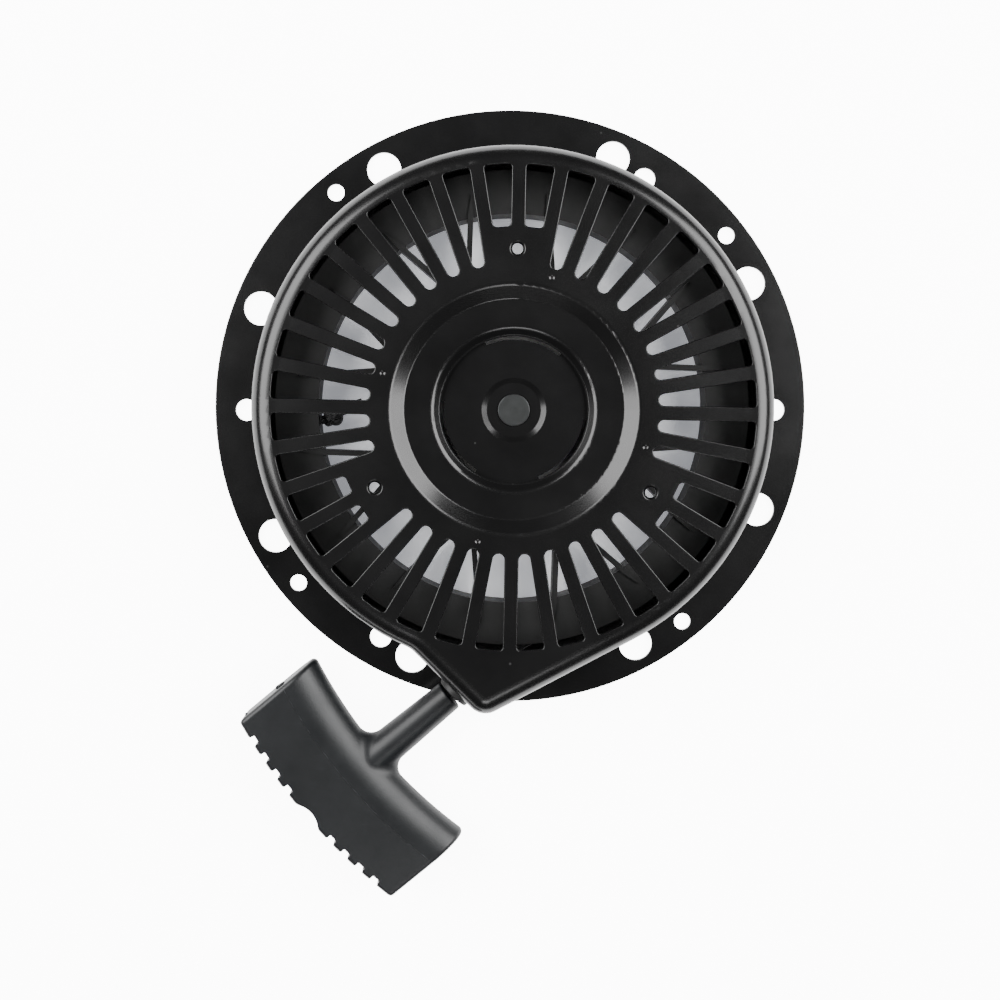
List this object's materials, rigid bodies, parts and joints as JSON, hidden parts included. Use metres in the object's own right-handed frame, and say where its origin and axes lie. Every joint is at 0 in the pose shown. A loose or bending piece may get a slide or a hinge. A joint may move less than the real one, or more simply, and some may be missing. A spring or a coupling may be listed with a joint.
{
  "type": "recoil starter",
  "caption": "Stamped steel recoil starter with a wide drilled flange, slotted cup, grooved rope pulley inside, polished rope eyelet and a serrated T-handle at its side",
  "frame": {"origin": "on the crank axis, on the engine side of the flange, which is the centre of the small bolt circle", "axes": "+Z along the crank axis, out of the engine towards the operator; +Y away from the handle, along the part's longest extent; +X to the right of that as seen from +Z"},
  "size_m": [0.2794, 0.367, 0.044],
  "materials": {
    "black_paint": "semi-gloss black enamel",
    "plain_steel": "dull zinc-plated steel",
    "bright_steel": "polished",
    "bush_rubber": "matt black",
    "braided_rope": "braided nylon, black",
    "pulley_plastic": "moulded, black",
    "spring_steel": "blued spring steel",
    "retainer_plastic": "moulded, black",
    "dog_steel": "sintered steel",
    "handle_plastic": "moulded, dark slate, satin"
  },
  "bodies": {
    "housing": {"housing": "black_paint", "hub_plate": "black_paint", "centre_leg": "plain_steel", "centre_pin": "plain_steel", "lower_washer": "plain_steel", "thrust_washer": "plain_steel", "rope_eyelet": "bright_steel", "rope_guide_bush": "bush_rubber", "rope_lead": "braided_rope"},
    "pulley": {"pulley": "pulley_plastic", "rewind_spring": "spring_steel", "spring_cover": "plain_steel", "rope_wound": "braided_rope", "rope_knot_pulley": "braided_rope", "dog_springs": "spring_steel"},
    "retainer": {"retainer": "retainer_plastic", "brake_spring": "spring_steel"},
    "dog_1": {"starter_dog_1": "dog_steel"},
    "dog_2": {"starter_dog_2": "dog_steel"},
    "handle": {"handle_grip": "handle_plastic", "handle_insert": "plain_steel", "rope_tail": "braided_rope", "rope_knot_handle": "braided_rope"}
  },
  "joints": [
    {"name": "pulley_spin", "type": "hinge", "parent": "housing", "child": "pulley", "pos_m": [0, 0, 0.013], "axis": [0, 0, -1], "range_deg": [0, 720], "stiffness_Nm_per_rad": 0.1, "springref_deg": -658.9, "deforming": ["rewind_spring"]},
    {"name": "handle_pull", "type": "slide", "parent": "housing", "child": "handle", "axis": [-0.7694, -0.6388, 0], "range_m": [0, 1.19]},
    {"name": "retainer_turn", "type": "hinge", "parent": "pulley", "child": "retainer", "pos_m": [0, 0, 0.0045], "axis": [0, 0, 1], "range_deg": [0, 35], "stiffness_Nm_per_rad": 0.01, "springref_deg": -11.46},
    {"name": "dog_1_swing", "type": "hinge", "parent": "pulley", "child": "dog_1", "pos_m": [0.024, 0, 0.009], "axis": [0, 0, 1], "range_deg": [0, 25.5]},
    {"name": "dog_2_swing", "type": "hinge", "parent": "pulley", "child": "dog_2", "pos_m": [-0.024, 0, 0.009], "axis": [0, 0, 1], "range_deg": [0, 25.5]}
  ],
  "couplings": [
    {"joint": "handle_pull", "follows": "pulley_spin", "m_per_rad": 0.0939},
    {"joint": "dog_1_swing", "follows": "retainer_turn", "ratio": 0.71429},
    {"joint": "dog_2_swing", "follows": "retainer_turn", "ratio": 0.71429}
  ]
}
